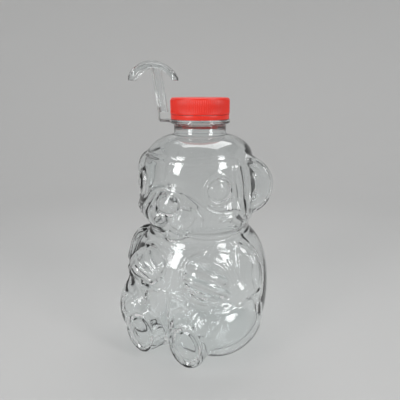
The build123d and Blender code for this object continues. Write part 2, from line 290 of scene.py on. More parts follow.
bear = {
    "wall": 0.65,
    "thinnest": 0.35,
    "rows": 200,
    "half": 180,  # columns on each side of the front
    "blend": 2.6,
    "headShift": 2.5,
    "headLow": 88.0,
    "headHigh": 150.0,
    "seatShift": 5.5,
    "seatTop": 48.0,
    # the trunk turned about the neck's axis: (radius, height)
    "trunk": [
        (33.0, 0.0), (38.8, 2.2), (43.4, 7.0), (47.8, 16.0), (51.4, 32.0), (51.8, 56.0), (49.4, 69.5),
        (44.4, 80.0), (38.6, 87.0), (36.4, 90.2), (37.0, 94.0), (39.6, 101.0), (41.0, 110.0),
        (41.2, 121.0), (40.2, 132.0), (38.8, 141.5), (35.9, 148.4), (31.0, 153.0), (24.8, 156.0),
        (20.4, 157.2),
    ],
    # eggs: middle, half sizes, the way the first half size points
    "middleEggs": {
        "muzzle": ((0.0, -25.0, 107.5), (21.0, 24.5, 18.0), (0.0, -1.0, 0.0)),
        "jowls": ((0.0, -8.0, 107.5), (35.0, 43.8, 22.0), (0.0, -1.0, 0.0)),
        "nose": ((0.0, -44.4, 116.2), (5.4, 8.8, 6.2), (0.0, -1.0, 0.0)),
        "chin": ((0.0, -36.0, 95.6), (8.4, 10.0, 6.4), (0.0, -1.0, 0.0)),
        "rightPalm": ((-15.5, -40.5, 68.0), (10.5, 8.2, 9.0), (0.88, -0.25, -0.4)),
    },
    "sideEggs": {
        "cheek": ((8.6, -38.6, 105.2), (9.2, 9.4, 8.6), (0.0, -1.0, 0.0)),
        "arm": ((44.6, -13.0, 61.0), (25.4, 11.6, 11.2), (-0.12, 0.16, 0.98)),
        "hand": ((24.5, -37.0, 66.0), (16.5, 11.8, 11.8), (-0.8, -0.45, 0.4)),
        "elbow": ((40.5, -22.5, 51.0), (10.0, 10.0, 13.0), (0.0, -1.0, 0.0)),
        "leg": ((32.4, -23.5, 30.5), (33.0, 22.0, 24.0), (-0.34, -0.94, 0.03)),
        "knee": ((12.0, -47.5, 38.5), (5.8, 5.8, 5.8), (0.0, -1.0, 0.0)),
    },
    # discs: front middle, turn, lean, half width, half height, thickness
    "discs": {
        "ear": ((36.8, -6.0, 124.8), 13.0, 0.0, 19.8, 20.0, 11.0),
        "eye": ((30.9, -30.9, 125.6), 45.0, 0.0, 9.4, 9.4, 9.0),
        "foot": ((18.8, -54.8, 22.8), 5.0, 2.0, 14.0, 17.8, 18.0),
    },
    # how far each disc's face stands out, by the share of the way to its rim
    "faces": {
        "ear": [(0.0, -5.2), (0.4, -4.8), (0.62, -3.2), (0.72, -1.0), (0.8, 0.5), (0.9, 0.4), (1.0, 0.0),
                (1.2, 0.0)],
        "eye": [(0.0, 1.8), (0.3, 1.6), (0.5, 0.9), (0.64, -0.2), (0.72, -1.0), (0.8, -0.9), (0.9, 0.3),
                (1.0, 0.3), (1.1, -0.3), (1.2, -0.3), (1.35, 0.0)],
        "foot": [(0.0, 1.6), (0.3, 1.4), (0.52, 0.5), (0.64, -1.0), (0.7, -1.3), (0.76, -0.9), (0.84, 0.6),
                 (0.9, 0.9), (0.96, 0.5), (1.02, 0.0)],
    },
}

# lines on the skin: (turn, height) points, half width, rise; a groove has a rise below 0
bothSides = {
    "muzzleEdge": ([(0, 128.2), (10.5, 125.6), (20, 122.4), (28.5, 117.6), (37, 112.2), (48, 109.8),
                    (58, 109.0)], 1.3, -2.0),
    "muzzleRoll": ([(0, 125.0), (9, 122.6), (18, 119.0), (26, 113.4), (33, 107.6), (37, 101.0)], 1.1, 0.7),
    "smile": ([(14, 121.6), (22, 115.0), (28.5, 108.0), (31, 101.5)], 0.8, -0.8),
    "noseEdge": ([(0, 109.3), (6, 109.9), (10.4, 112.4), (11.8, 116.2), (10.2, 120.2), (6, 122.7),
                  (0, 123.4)], 0.9, -1.3),
    "mouth": ([(0, 108.8), (0, 104.6), (2.4, 101.4), (8.2, 99.6), (15, 100.2), (21.8, 103.3),
               (25, 107.4)], 1.0, -1.3),
    "lip": ([(0, 97.6), (6, 96.4), (13, 96.2), (20, 98.2)], 1.0, 0.8),
    "browEdge": ([(0, 145.2), (12, 144.9), (24, 144.9), (38, 145.4), (55, 145.5), (66, 145.4), (70, 143.0),
                  (66.5, 138.6), (63.4, 133.0), (64.6, 127.0), (65.2, 120.0), (64.5, 112.3)], 1.0, 0.9),
    "browGroove": ([(0, 142.2), (24, 141.9), (38, 142.4), (54, 142.4), (62.6, 141.4), (61.0, 134.0),
                    (61.8, 127.0), (62.0, 119.0)], 1.3, -0.7),
    "tuftOne": ([(46.5, 106.6), (57, 107.8)], 0.8, 0.8),
    "tuftTwo": ([(56, 105.4), (60, 103.8), (64, 101.6)], 0.8, 0.8),
    "tuftThree": ([(53.2, 101.2), (62, 99.4), (71.2, 95.8)], 0.8, 0.8),
    "tuftFour": ([(64.5, 111.4), (71, 108.6), (77, 104.4)], 0.8, 0.8),
    "tuftFive": ([(69, 102), (74.2, 98.4)], 0.7, 0.7),
    "shoulderFold": ([(64, 86.4), (70.5, 83.0), (71.5, 76.0), (68.5, 68.0), (70.5, 58.0)], 1.0, 0.9),
    "sleeveOne": ([(76, 80.0), (79, 70.0), (77, 60.0)], 0.9, 0.7),
    "elbowFold": ([(67.5, 53.5), (71.0, 47.0), (73.5, 40.0)], 1.0, 0.9),
    "forearmEdge": ([(32, 46.6), (45, 46.6), (58, 49.2), (66, 53.0), (71.2, 57.5)], 1.2, -1.1),
    "legEdge": ([(5.0, 57.0), (12, 56.6), (17, 54.0), (19, 49.0)], 1.0, 0.7),
    "jawFold": ([(14, 94.2), (28, 92.0), (45, 91.4), (62, 91.8), (80, 92.8)], 0.9, 0.8),
    "collarFold": ([(0, 88.0), (20, 87.2), (44, 87.2), (68, 87.8), (92, 88.8), (125, 89.6)], 0.9, 0.9),
    "collarDip": ([(0, 84.8), (24, 84.4), (50, 84.6), (72, 85.2)], 1.0, -0.7),
    "earRoot": ([(70, 139.0), (72.5, 131.0), (73.5, 123.0), (72.5, 115.0), (70, 108.5)], 1.0, -0.6),
}

oneSide = {
    # the bear's left hand
    "fingerOne": ([(19.0, 77.2), (27, 76.0), (35.2, 72.9), (46, 66.6)], 2.0, 2.0),
    "fingerTwo": ([(17.2, 70.6), (24, 69.2), (33, 66.4), (42, 61.8), (50, 55.6)], 2.0, 2.0),
    "fingerThree": ([(18.4, 63.4), (25.5, 61.4), (34, 57.6), (42, 52.6)], 2.0, 2.0),
    "fingerFour": ([(22.0, 56.6), (27.5, 54.2), (33, 51.6)], 1.9, 1.8),
    "handEdge": ([(31, 83.0), (21.5, 81.0), (14.8, 75.4), (13.4, 67.5), (15.4, 59.5), (19.0, 52.7),
                  (26, 49.4), (34, 48.2)], 1.5, -1.5),
    "wristOne": ([(36, 84.4), (46, 84.4), (55, 82.4)], 1.0, 0.8),
    "wristTwo": ([(48.5, 76.0), (52.5, 70.0), (55.5, 63.0)], 1.0, 0.8),
    "wristThree": ([(53.0, 78.0), (56.5, 71.5), (59.0, 65.0)], 0.9, 0.6),
    # the bear's right hand
    "fingerFive": ([(-26, 73.8), (-20, 70.2), (-13.0, 66.4)], 1.9, 1.9),
    "fingerSix": ([(-23, 78.4), (-17, 75.0), (-9.6, 71.0)], 1.9, 1.9),
    "fingerSeven": ([(-27, 67.4), (-21, 64.2), (-14, 60.6)], 1.9, 1.8),
    "fingerEight": ([(-10.0, 65.4), (-6.0, 69.4), (-2.8, 74.2)], 1.5, 1.4),
    "handEdgeTwo": ([(-30, 81.0), (-21, 82.4), (-10, 80.0), (-1.6, 75.6), (-2.6, 68.4), (-8.0, 62.6),
                     (-15, 58.6), (-24, 57.0)], 1.4, -1.3),
    "cuff": ([(-35, 82.0), (-24, 84.2), (-14, 82.4), (-8, 79.6)], 0.9, 0.8),
    # the edge of the lap and the mould's seam below it
    "lap": ([(-26, 51.5), (-14, 55.0), (-3.7, 57.0), (2.2, 55.6), (3.6, 48.3), (1.8, 38.0)], 0.9, 1.0),
    "seamLow": ([(1.6, 36.0), (1.0, 24.0), (0.6, 10.0)], 0.6, 0.6),
    "seamHigh": ([(0.4, 83.0), (0.6, 72.0), (0.8, 60.0)], 0.6, 0.35),
}

bumpsBoth = {
    # ovals: turn, height, half width, half height, rise
    "kneeOval": (10.5, 46.6, 5.6, 9.6, 1.8),
}

furPatches = {
    # tufts scattered round a place: turn, height, spread in degrees, spread in height, count
    "ankle": (31.0, 41.0, 10.0, 6.0, 34),
    "shin": (19.5, 46.5, 4.0, 4.0, 8),
}


def smoothCurve(points, count):
    # A natural cubic curve through flat points, at even steps of its chord length.
    corners = np.array(points, float)
    gaps = np.hypot(*np.diff(corners, axis=0).T)
    at = np.concatenate([[0], np.cumsum(gaps)])
    last = len(corners) - 1
    wanted = np.linspace(0, at[-1], count)
    span = np.clip(np.searchsorted(at, wanted) - 1, 0, last - 1)
    after = (at[span + 1] - wanted) / gaps[span]
    before = (wanted - at[span]) / gaps[span]
    columns = []
    for values in corners.T:
        grid = np.eye(last + 1)
        pull = np.zeros(last + 1)
        for i in range(1, last):
            grid[i, i - 1:i + 2] = gaps[i - 1], 2 * (gaps[i - 1] + gaps[i]), gaps[i]
            pull[i] = 6 * ((values[i + 1] - values[i]) / gaps[i] - (values[i] - values[i - 1]) / gaps[i - 1])
        curve = np.linalg.solve(grid, pull)
        columns.append(after * values[span] + before * values[span + 1]
                       + ((after**3 - after) * curve[span] + (before**3 - before) * curve[span + 1])
                       * gaps[span]**2 / 6)
    return np.array(columns).T


def ownAxes(toward):
    first = Vector(toward).normalized()
    across = Vector((0, 0, 1)) if abs(first.z) < sqrt(0.5) else Vector((0, -1, 0))
    second = across.cross(first).normalized()
    return first, second, first.cross(second)


def eggReach(middle, sizes, toward, wayX, wayY, height):
    x, y, z = middle
    square = cross = rest = 0
    for axis, size in zip(ownAxes(toward), sizes):
        along = (wayX * axis.x + wayY * axis.y) / size
        start = ((height - z) * axis.z - x * axis.x - y * axis.y) / size
        square = square + along * along
        cross = cross + along * start
        rest = rest + start * start
    inside = cross * cross - square * (rest - 1)
    return np.where(inside > 0, (np.sqrt(np.maximum(inside, 0)) - cross) / square, 0)


def discAxes(turn, lean):
    turn, lean = radians(turn), radians(lean)
    out = Vector((sin(turn) * cos(lean), -cos(turn) * cos(lean), -sin(lean)))
    aside = Vector((cos(turn), sin(turn), 0))
    return out, aside, out.cross(aside)


def discReach(middle, turn, lean, halfWidth, halfHeight, thick, wayX, wayY, height):
    out, aside, upward = discAxes(turn, lean)

    def local(reach):
        offset = (wayX * reach - middle[0], wayY * reach - middle[1], height - middle[2])
        return [sum(part * side for part, side in zip(offset, axis)) for axis in (out, aside, upward)]

    facing = out.x * wayX + out.y * wayY
    depth, wide, tall = local(0 * wayX)
    reach = -depth / np.where(facing > 1e-6, facing, 1)
    _, side, rise = local(reach)
    front = (facing > 0) & (np.hypot(side / halfWidth, rise / halfHeight) < 1)
    best = np.where(front, reach, 0)
    acrossWide = (aside.x * wayX + aside.y * wayY) / halfWidth
    acrossTall = (upward.x * wayX + upward.y * wayY) / halfHeight
    square = np.maximum(acrossWide**2 + acrossTall**2, 1e-9)
    wide, tall = wide / halfWidth, tall / halfHeight
    cross = acrossWide * wide + acrossTall * tall
    inside = cross**2 - square * (wide**2 + tall**2 - 1)
    reach = (np.sqrt(np.maximum(inside, 0)) - cross) / square
    sunk = local(reach)[0]
    rim = (inside > 0) & (-thick < sunk) & (sunk < 0)
    return np.where(rim, np.maximum(best, reach), best)


def blended(one, other):
    near = np.maximum(bear["blend"] - abs(one - other), 0)
    return np.maximum(one, other) + near * near / (4 * bear["blend"])


def turnColumns():
    # Turns from the back round the front to the back, closer together at the face and at the ears.
    fine = np.linspace(0, 180, 1801)
    crowd = 0.5 + 0.9 / (1 + np.exp((fine - 78) / 3)) + 3.2 * np.exp(-((fine - 86) / 4.5)**2)
    total = np.concatenate([[0], np.cumsum((crowd[1:] + crowd[:-1]) / 2)])
    half = np.radians(np.interp(np.linspace(0, total[-1], bear["half"] + 1), total, fine))
    return np.concatenate([-half[:0:-1], half[:-1]])


def mirrored(point):
    return (-point[0], *point[1:])


def skinGrid():
    # The bear's smooth skin as rows of points, before its fine detail.
    curve = smoothCurve(bear["trunk"], bear["rows"])
    radius, height = curve[:, :1], curve[:, 1:]
    turns = turnColumns()[None, :]
    wayX, wayY = np.sin(turns), -np.cos(turns)
    share = (height - bear["headLow"]) / (bear["headHigh"] - bear["headLow"])
    forward = np.where((share > 0) & (share < 1), bear["headShift"] * np.sin(pi * share), 0)
    sit = bear["seatShift"] * np.maximum(1 - height / bear["seatTop"], 0)
    reach = radius + (forward - sit) * np.cos(turns)
    eggs = list(bear["middleEggs"].values())
    for middle, sizes, toward in bear["sideEggs"].values():
        eggs += [(middle, sizes, toward), (mirrored(middle), sizes, mirrored(toward))]
    for egg in eggs:
        reach = blended(reach, eggReach(*egg, wayX, wayY, height))
    for middle, turn, lean, halfWidth, halfHeight, thick in bear["discs"].values():
        for side in (1, -1):
            place = middle if side > 0 else mirrored(middle)
            reach = blended(reach, discReach(place, turn * side, lean, halfWidth, halfHeight, thick,
                                             wayX, wayY, height))
    for _ in range(2):
        reach = (np.roll(reach, 1, 1) + 2 * reach + np.roll(reach, -1, 1)) / 4
        reach[1:-1] = (reach[:-2] + 2 * reach[1:-1] + reach[2:]) / 4
    grid = np.stack([reach * wayX, reach * wayY, np.broadcast_to(height, reach.shape)], -1)
    return grid, turns[0], height[:, 0]


def gridNormals(grid):
    across = np.roll(grid, -1, 1) - np.roll(grid, 1, 1)
    up = np.gradient(grid, axis=0)
    normal = np.cross(across, up)
    return normal / np.linalg.norm(normal, axis=-1, keepdims=True)


def onSkin(grid, turns, heights, turn, height):
    # The point of the skin at one turn and height.
    row = np.interp(height, heights, np.arange(len(heights)))
    column = np.interp(radians(turn), turns, np.arange(len(turns)))
    r0, c0 = int(row), int(column)
    r1, c1 = min(r0 + 1, len(heights) - 1), (c0 + 1) % len(turns)
    fr, fc = row - r0, column - c0
    low = grid[r0, c0] * (1 - fc) + grid[r0, c1] * fc
    high = grid[r1, c0] * (1 - fc) + grid[r1, c1] * fc
    return low * (1 - fr) + high * fr


def lineRise(grid, turns, heights, points, halfWidth, rise):
    # How far a drawn line lifts each point of the skin.
    steps = 12 * (len(points) - 1) + 1
    path = [onSkin(grid, turns, heights, *place) for place in smoothCurve(points, steps)]
    nearest = np.full(grid.shape[:2], 1e9)
    for start, end in zip(path, path[1:]):
        run = end - start
        length = max(run @ run, 1e-9)
        along = np.clip(((grid - start) @ run) / length, 0, 1)
        gap = ((grid - start - along[..., None] * run)**2).sum(-1)
        nearest = np.minimum(nearest, gap)
    return rise * np.exp(-nearest / halfWidth**2)


def bumpRise(grid, centre, normal, halfWidth, halfHeight, rise):
    aside = np.cross(normal, (0, 0, 1))
    aside /= np.linalg.norm(aside)
    upward = np.cross(aside, normal)
    offset = grid - centre
    wide = (offset @ aside) / halfWidth
    tall = (offset @ upward) / halfHeight
    deep = (offset @ normal) / (2 * max(halfWidth, halfHeight))
    return rise * np.exp(-(wide**2 + tall**2 + deep**2) * 1.2)


def discFaces(grid):
    # How far the faces of the ears, eyes and feet move each point, as a field of offsets.
    moved = np.zeros_like(grid)
    for name, (middle, turn, lean, halfWidth, halfHeight, _) in bear["discs"].items():
        places, heights = zip(*bear["faces"][name])
        for side in (1, -1):
            place = middle if side > 0 else mirrored(middle)
            out, aside, upward = (np.array(axis) for axis in discAxes(turn * side, lean))
            offset = grid - np.array(place)
            share = np.hypot((offset @ aside) / halfWidth, (offset @ upward) / halfHeight)
            deep = offset @ out
            near = np.clip((deep + 3.2) / 1.6, 0, 1) * np.clip((4.0 - deep) / 2.0, 0, 1)
            moved += (np.interp(share, places, heights) * near)[..., None] * out
    return moved


def furRise(grid, turns, heights, normals):
    # Small rounded tufts of fur over the ankles and shins.
    random = np.random.default_rng(7)
    rise = np.zeros(grid.shape[:2])
    for turn, height, spreadTurn, spreadHeight, count in furPatches.values():
        for _ in range(count):
            across, up = random.normal(0, 0.5, 2)
            width, tall = random.uniform(1.1, 1.9), random.uniform(1.4, 2.4)
            lift = random.uniform(0.7, 1.3)
            for side in (1, -1):
                at = (side * (turn + across * spreadTurn), height + up * spreadHeight)
                centre = onSkin(grid, turns, heights, *at)
                normal = onSkin(normals, turns, heights, *at)
                normal = normal / np.linalg.norm(normal)
                rise = np.maximum(rise, bumpRise(grid, centre, normal, width, tall, lift))
    return rise


def detailedSkin():
    grid, turns, heights = skinGrid()
    normals = gridNormals(grid)
    lift = np.zeros(grid.shape[:2])
    for points, halfWidth, rise in bothSides.values():
        for side in (1, -1):
            route = [(turn * side, height) for turn, height in points]
            lift += lineRise(grid, turns, heights, route, halfWidth, rise) * (0.5 if points[0][0] == 0 else 1)
    for points, halfWidth, rise in oneSide.values():
        lift += lineRise(grid, turns, heights, points, halfWidth, rise)
    for turn, height, halfWidth, halfHeight, rise in bumpsBoth.values():
        for side in (1, -1):
            centre = onSkin(grid, turns, heights, turn * side, height)
            normal = onSkin(normals, turns, heights, turn * side, height)
            lift += bumpRise(grid, centre, normal / np.linalg.norm(normal), halfWidth, halfHeight, rise)
    lift += furRise(grid, turns, heights, normals)
    # nothing moves at the base's rim or at the neck
    rows = np.arange(len(heights))
    calm = np.clip(rows / 6, 0, 1) * np.clip((len(heights) - 1 - rows) / 6, 0, 1)
    grid = grid + normals * (lift * calm[:, None])[..., None]
    grid = grid + discFaces(grid) * calm[:, None, None]
    return fitted(grid), turns


def fitted(grid):
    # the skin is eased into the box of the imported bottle, side by side
    corners = [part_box(name) for name in bottleNodes]
    for axis in (0, 1):
        for pick, side in ((min, 0), (max, 1)):
            wall = pick(corner[side][axis] for corner in corners) / mm
            reach = pick(grid[..., axis].min(), grid[..., axis].max())
            share = min(wall / reach, 1)
            part = grid[..., axis] * (-1 if side == 0 else 1) > 0
            grid[..., axis] = np.where(part, grid[..., axis] * share, grid[..., axis])
    return grid


# the neck: (radius, height) up the outside, and down the inside

neck = {
    "throat": 18.4,
    "throatInner": 17.8,
    "throatLow": 158.8,
    "support": 21.0,
    "supportThick": 2.0,
    "seat": 18.95,
    "underBand": 17.6,
    "finish": 17.4,
    "bead": 18.9,
    "beadLow": 170.55,
    "bore": 16.0,
    "threadCrest": 18.6,
    "threadLow": 174.5,
    "threadLead": 9.0,
    "threadTurns": 0.36,
    "threadStarts": 3,
    "threadHalf": 0.65,  # half the thread's width at its foot
    "threadFlank": 0.35,
    "threadRunIn": 40,  # how steeply a thread rises at its two ends
}


def threadLift(angle, height, low):
    # From 0 to 1, how much of a thread's depth stands at one place.
    best = 0.0
    for start in range(neck["threadStarts"]):
        along = (angle / tau - start / neck["threadStarts"]) % 1
        if along > neck["threadTurns"]:
            continue
        ends = min(along, neck["threadTurns"] - along) * neck["threadRunIn"]
        away = abs(height - low - along * neck["threadLead"])
        crest = min(max((neck["threadHalf"] - away) / neck["threadFlank"], 0), 1)
        best = max(best, crest * min(ends, 1))
    return best


def neckOutside():
    ring = collarLow - neck["supportThick"]
    low, deep = neck["throatLow"], neck["throat"]
    outline = [
        (19.6, 157.55), (18.9, 158.0), (deep + 0.08, low), (deep, low + 0.9), (deep, ring - 0.6),
        (deep + 0.15, ring - 0.1), (deep + 0.6, ring + 0.15), (neck["support"] - 0.5, ring + 0.9),
        (neck["support"] - 0.1, ring + 1.1), (neck["support"], ring + 1.35),
        (neck["support"] - 0.05, ring + 1.6), (neck["support"] - 0.3, ring + 1.85),
        (neck["support"] - 0.7, collarLow),
        (neck["seat"] + 0.15, collarLow), (neck["seat"], collarLow + 0.15), (neck["seat"], collarTop - 0.25),
        (neck["seat"] - 0.25, collarTop), (neck["underBand"] + 0.1, collarTop),
        (neck["underBand"], collarTop + 0.1),
        (neck["underBand"], neck["beadLow"] - 0.1), (neck["bead"] - 0.2, neck["beadLow"] + 0.4),
        (neck["bead"], neck["beadLow"] + 0.6), (neck["bead"], neck["beadLow"] + 0.9),
        (neck["bead"] - 0.3, neck["beadLow"] + 1.2), (neck["finish"] + 0.1, neck["beadLow"] + 1.9),
    ]
    low = neck["beadLow"] + 2.0
    high = lipHeight - 0.5
    count = 18
    outline += [(neck["finish"], low + (high - low) * step / count) for step in range(count + 1)]
    outline += [(neck["finish"] - 0.15, lipHeight - 0.15), (neck["finish"] - 0.5, lipHeight)]
    return outline


def neckInside():
    bore, ring = neck["bore"], collarLow - neck["supportThick"]
    return [
        (bore + 0.3, lipHeight), (bore, lipHeight - 0.3), (bore, lipHeight - 6), (bore, ring + 0.4),
        (bore + 0.1, ring), (neck["throatInner"] - 0.1, ring - 1.9), (neck["throatInner"], ring - 2.2),
        (neck["throatInner"], neck["throatLow"] + 0.1), (18.2, 157.75), (19.1, 157.05),
    ]


def innerSkin(grid):
    # the wall's inner face, a little softer than the outer one, as a blown wall is
    soft = grid.copy()
    for _ in range(6):
        soft = (np.roll(soft, 1, 1) + 2 * soft + np.roll(soft, -1, 1)) / 4
        soft[1:-1] = (soft[:-2] + 2 * soft[1:-1] + soft[2:]) / 4
    normals = gridNormals(soft)
    soft = soft - normals * bear["wall"]
    for _ in range(3):
        # each point is pushed in to the thinnest wall, but the faces made from every
        # fourth point can still cross the outer face in a tight fold
        thick = ((grid - soft) * normals).sum(-1)
        short = np.maximum(bear["thinnest"] - thick, 0)
        short = np.maximum(short, (np.roll(short, 1, 1) + np.roll(short, -1, 1)) / 2)
        soft = soft - normals * short[..., None]
    soft[..., 2] = np.maximum(soft[..., 2], bear["wall"])
    return soft


def makeBottle():
    grid, turns = detailedSkin()
    wayX, wayY = np.sin(turns), -np.cos(turns)
    shares = (0.25, 0.5, 0.75, 0.93)

    def flatRing(outer, share, height):
        return [(x * share, y * share, height) for x, y in outer[:, :2]]

    rings = [[(0, 0, 0)]] + [flatRing(grid[0], share, 0) for share in shares]
    rings += list(grid)
    for radius, height in neckOutside():
        ring = []
        for x, y in zip(wayX, wayY):
            lift = threadLift(atan2(y, x), height, neck["threadLow"]) if height > neck["beadLow"] + 2 else 0
            reach = radius + lift * (neck["threadCrest"] - neck["finish"])
            ring.append((x * reach, y * reach, height))
        rings.append(ring)
    for index, (radius, height) in enumerate(neckInside()):
        step = 1 if index < 3 else 2
        rings.append([(x * radius, y * radius, height) for x, y in zip(wayX[::step], wayY[::step])])
    inner = innerSkin(grid)[::4, ::4]
    rings += list(inner[::-1])
    rings += [flatRing(inner[0], share, bear["wall"]) for share in shares[::-1]]
    rings.append([(0, 0, bear["wall"])])
    bottle = ringMesh("clearBear", rings)
    smoothShade(bottle, 70)
    material = clearMaterial("clearBlownPlastic", clearPlastic)
    finishPiece(bottle, "bottle", "clear_bottle", material, *bottleNodes)


# the red screw cap

cap = {
    "radius": 20.75,
    "bore": 18.95,
    "threadCrest": 17.75,
    "plate": 1.4,
    "edgeRound": 1.5,
    "ribs": 96,
    "ribDepth": 0.3,
    "ribLow": 1.0,
    "ribFade": 0.5,
    "stepsPerRib": 4,
    "colour": (0.88, 0.03, 0.014),
    "shade": (0.82, 0.023, 0.01),
}


def redMaterial():
    material, tree, shader, _ = newTree("redMouldedPlastic")
    cloud = noiseOf(tree, 38, 2)
    grain = noiseOf(tree, 1500, 2)
    tree.links.new(twoTone(tree, cloud, cap["shade"], cap["colour"]), shader.inputs["Base Color"])
    tree.links.new(ranged(tree, grain, 0.3, 0.4), shader.inputs["Roughness"])
    tree.links.new(bumped(tree, grain, 0.12, 0.0001), shader.inputs["Normal"])
    shader.inputs["Subsurface Weight"].default_value = 0.12
    shader.inputs["Subsurface Radius"].default_value = (0.004, 0.0012, 0.0008)
    shader.inputs["Subsurface Scale"].default_value = 0.3
    return material


def makeCap(material):
    columns = cap["ribs"] * cap["stepsPerRib"]
    outer, bore, turnIn = cap["radius"], cap["bore"], cap["edgeRound"]
    plateUnder = capTop - cap["plate"]
    ribLow, ribHigh = capLow + cap["ribLow"], capTop - turnIn
    outline = [(bore, capLow + 0.2, 0, 0), (bore + 0.2, capLow, 0, 0), (outer - 0.25, capLow, 0, 0),
               (outer, capLow + 0.25, 0, 0), (outer, ribLow, 0, 0)]
    ribHeights = (ribLow + cap["ribFade"], (ribLow + ribHigh) / 2, ribHigh - 0.2)
    outline += [(outer, height, 1, 0) for height in ribHeights]
    steps = 7
    inset = outer - cap["ribDepth"] / 2
    for step in range(steps + 1):
        angle = pi / 2 * step / steps
        ribbed = max(0.8 - step * 0.4, 0)
        reach, height = inset - turnIn + turnIn * cos(angle), capTop - turnIn + turnIn * sin(angle)
        outline.append((reach, height, ribbed, 0))
    outline += [(share * (inset - turnIn), capTop, 0, 0) for share in (0.97, 0.66, 0.33)]
    outline.append((0, capTop, 0, 0))
    outline.append((0, plateUnder, 0, 0))
    outline += [(bore * 0.5, plateUnder, 0, 0), (bore - 0.2, plateUnder, 0, 0),
                (bore, plateUnder - 0.2, 0, 0)]
    count = 20
    top, low = plateUnder - 0.5, capLow + 0.6
    outline += [(bore, top + (low - top) * step / count, 0, 1) for step in range(count + 1)]
    rings = []
    for radius, height, ribbed, threaded in outline:
        if radius == 0:
            rings.append([(0, 0, height)])
            continue
        ring = []
        for column in range(columns):
            angle = tau * column / columns
            dip = cap["ribDepth"] * ribbed * (0.5 - 0.5 * cos(angle * cap["ribs"]))
            lift = threadLift((angle - pi / 3) % tau, height, neck["threadLow"]) * threaded
            reach = radius - dip - lift * (bore - cap["threadCrest"])
            ring.append((reach * cos(angle), reach * sin(angle), height))
        rings.append(ring)
    cut = next(index for index, ring in enumerate(rings) if len(ring) == 1)
    # the top's middle and the underside's middle each close their own fan
    piece = ringMesh("redCap", rings[cut + 1:] + rings[:cut + 1])
    smoothShade(piece, 50)
    finishPiece(piece, "cap", "red_cap", material, "screw_cap")


band = {
    "radius": 20.55,
    "bore": 19.3,
    "lip": 18.2,
    "lipHeight": 1.1,
    "bridges": 10,
    "bridgeWidth": 1.1,
    "columns": 240,
}


def makeBand(material):
    outer, bore, lip = band["radius"], band["bore"], band["lip"]
    top = capLow - 0.3
    outline = [
        (lip, bandLow + 0.1), (lip + 0.1, bandLow), (outer - 0.3, bandLow), (outer - 0.08, bandLow + 0.08),
        (outer, bandLow + 0.3), (outer, top - 0.25), (outer - 0.07, top - 0.07), (outer - 0.25, top),
        (bore + 0.1, top), (bore, top - 0.1), (bore, bandLow + band["lipHeight"] + 0.9),
        (lip + 0.15, bandLow + band["lipHeight"] + 0.1), (lip, bandLow + band["lipHeight"]),
    ]
    rings = [circle(radius, height, band["columns"]) for radius, height in outline]
    piece = ringMesh("tamperBand", rings, closed=True)
    work = bmesh.new()
    work.from_mesh(piece.data)
    # the little bridges up to the cap's skirt
    for index in range(band["bridges"]):
        angle = tau * index / band["bridges"]
        out = Vector((cos(angle), sin(angle), 0))
        side = Vector((-sin(angle), cos(angle), 0)) * band["bridgeWidth"] / 2
        corners = []
        for radius in (bore + 0.25, outer - 0.2):
            for sign in (-1, 1):
                for height in (top - 0.2, bandTop):
                    narrow = 1.0 if height < bandTop else 0.6
                    corners.append(work.verts.new((out * radius + side * sign * narrow
                                                   + Vector((0, 0, height))) * mm))
        for face in ((0, 1, 3, 2), (4, 6, 7, 5), (0, 4, 5, 1), (2, 3, 7, 6), (1, 5, 7, 3), (0, 2, 6, 4)):
            work.faces.new([corners[i] for i in face])
    bmesh.ops.recalc_face_normals(work, faces=work.faces)
    work.to_mesh(piece.data)
    work.free()
    smoothShade(piece, 40)
    finishPiece(piece, "band", "red_cap", material, "tamper_band")


# the foam liner keeps its part and gets its own surface

liner = {
    "shade": (0.80, 0.80, 0.77),
    "colour": (0.90, 0.90, 0.88),
    "cells": 900,
}


def dressLiner():
    material, tree, shader, _ = newTree("whiteFoam")
    cells = noiseOf(tree, liner["cells"], 4)
    tree.links.new(twoTone(tree, cells, liner["shade"], liner["colour"]), shader.inputs["Base Color"])
    tree.links.new(ranged(tree, cells, 0.55, 0.75), shader.inputs["Roughness"])
    tree.links.new(bumped(tree, cells, 0.3, 0.0002), shader.inputs["Normal"])
    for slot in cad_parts["cap_liner"].material_slots:
        slot.material = material


# the carrying handle, drawn with its tab along -X and then turned about the neck

handle = {
    "turn": 28.3,
    "ring": 21.0,
    "bore": 19.0,
    "tabReach": 27.95,
    "tabWidth": 10.6,
    "tabRootWidth": 27.0,
    "tabRootReach": 14.0,
    "strapReach": 28.45,
    "strapThick": 0.9,
    "strapWidth": 10.0,
    "strapTop": 176.5,
    "stemWidth": 9.0,
    "stemDepth": 6.6,
    "flange": 1.5,
    "web": 1.6,
    "lean": 8.5,
    "footReach": 22.3,
    "footHeight": 172.6,
    "headHeight": 203.6,
    "gripReach": 31.9,
    "gripHeight": 187.3,
    "gripRadius": 18.8,
    "gripPlate": 1.5,
    "gripLip": 4.2,
    "gripLipThick": 1.4,
    "gripWidth": 18.0,
    "gripCorner": 5.0,
    "gripOuter": 48.6,
    "gripInner": 14.8,
    "gripLow": 193.6,
    "edge": 0.3,
    "collarEdge": 0.25,
    "collarColumns": 480,
    "strapEdge": 0.15,
    "gripEdge": 0.45,
    "hollowEdge": 0.3,
}

handlePlastic = dict(clearPlastic, tint=(0.93, 0.95, 0.95), smoothest=0.05, roughest=0.14, waveScale=140.0,
                     waveStrength=0.5)


def toHandle(point):
    # A handle point (outward reach, across, height) in the bottle's own frame.
    reach, across, height = point
    turn = radians(handle["turn"])
    x, y = -reach, across
    return Vector((x * cos(turn) - y * sin(turn), x * sin(turn) + y * cos(turn), height))


